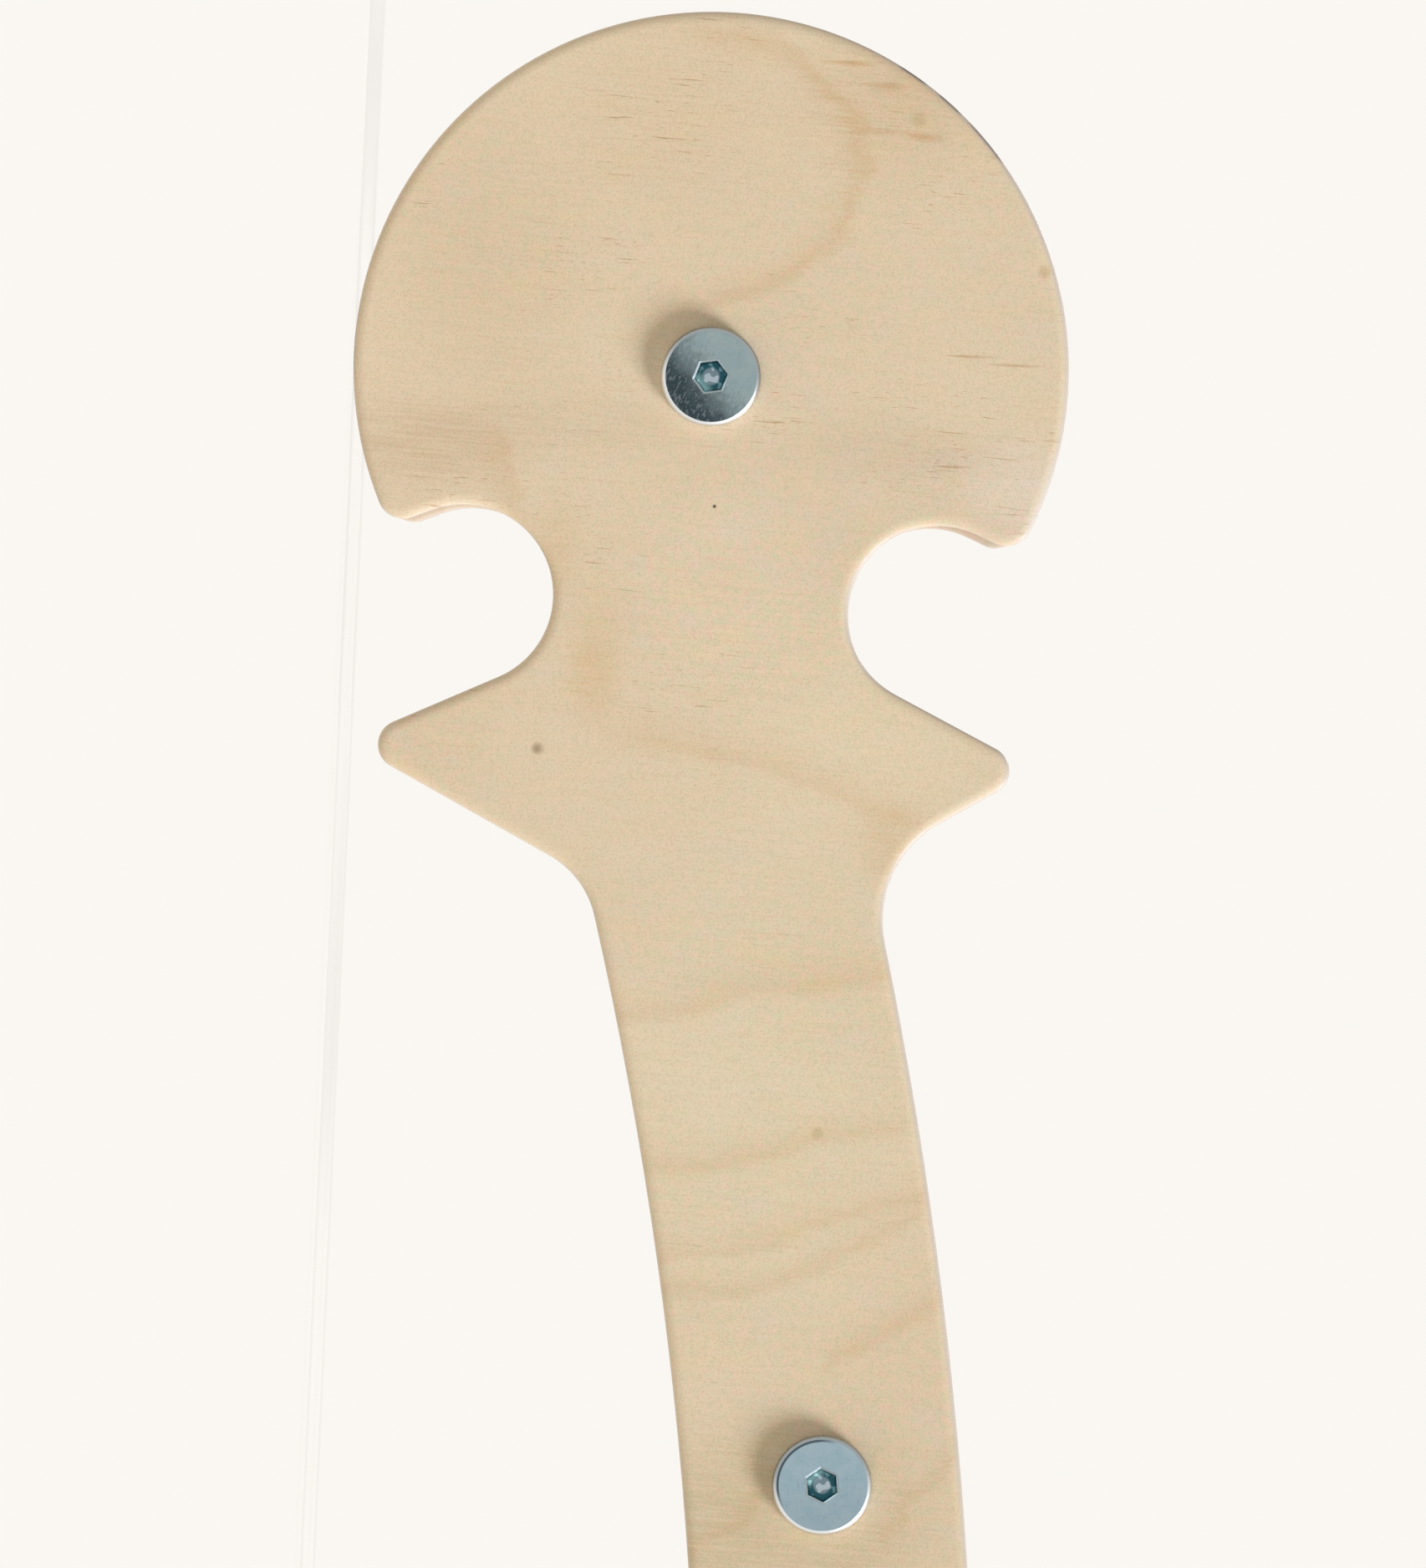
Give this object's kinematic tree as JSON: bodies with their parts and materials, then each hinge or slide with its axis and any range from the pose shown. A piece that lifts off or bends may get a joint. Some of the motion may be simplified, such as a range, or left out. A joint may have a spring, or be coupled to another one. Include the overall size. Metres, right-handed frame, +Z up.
{
  "type": "hook-on climbing ladder",
  "caption": "Low bowed climbing ladder: two plywood rails with round hooked ends, bolted to round wooden rungs. It hooks onto climbing-frame bars or stands as a small arch.",
  "frame": {"origin": "on the floor, under the middle of the ladder as it stands on the discs of its rails", "axes": "+X along the ladder, +Y from the near rail to the far rail, +Z up"},
  "size_m": [0.6884, 0.382, 0.122],
  "materials": {
    "birch_plywood": "sanded birch plywood with a clear matt oil",
    "beech_dowel": "sanded beech with a clear matt oil",
    "zinc_bolt": "blue-white zinc plate, satin",
    "insert_zinc": "yellow zinc plate"
  },
  "bodies": {
    "root": {"near_rail": "birch_plywood", "far_rail": "birch_plywood", "rung_1": "beech_dowel", "rung_2": "beech_dowel", "rung_3": "beech_dowel", "rung_4": "beech_dowel", "near_bolt_1": "zinc_bolt", "near_bolt_2": "zinc_bolt", "near_bolt_3": "zinc_bolt", "near_bolt_4": "zinc_bolt", "far_bolt_1": "zinc_bolt", "far_bolt_2": "zinc_bolt", "far_bolt_3": "zinc_bolt", "far_bolt_4": "zinc_bolt", "near_insert_1": "insert_zinc", "near_insert_2": "insert_zinc", "near_insert_3": "insert_zinc", "near_insert_4": "insert_zinc", "far_insert_1": "insert_zinc", "far_insert_2": "insert_zinc", "far_insert_3": "insert_zinc", "far_insert_4": "insert_zinc"}
  },
  "joints": []
}
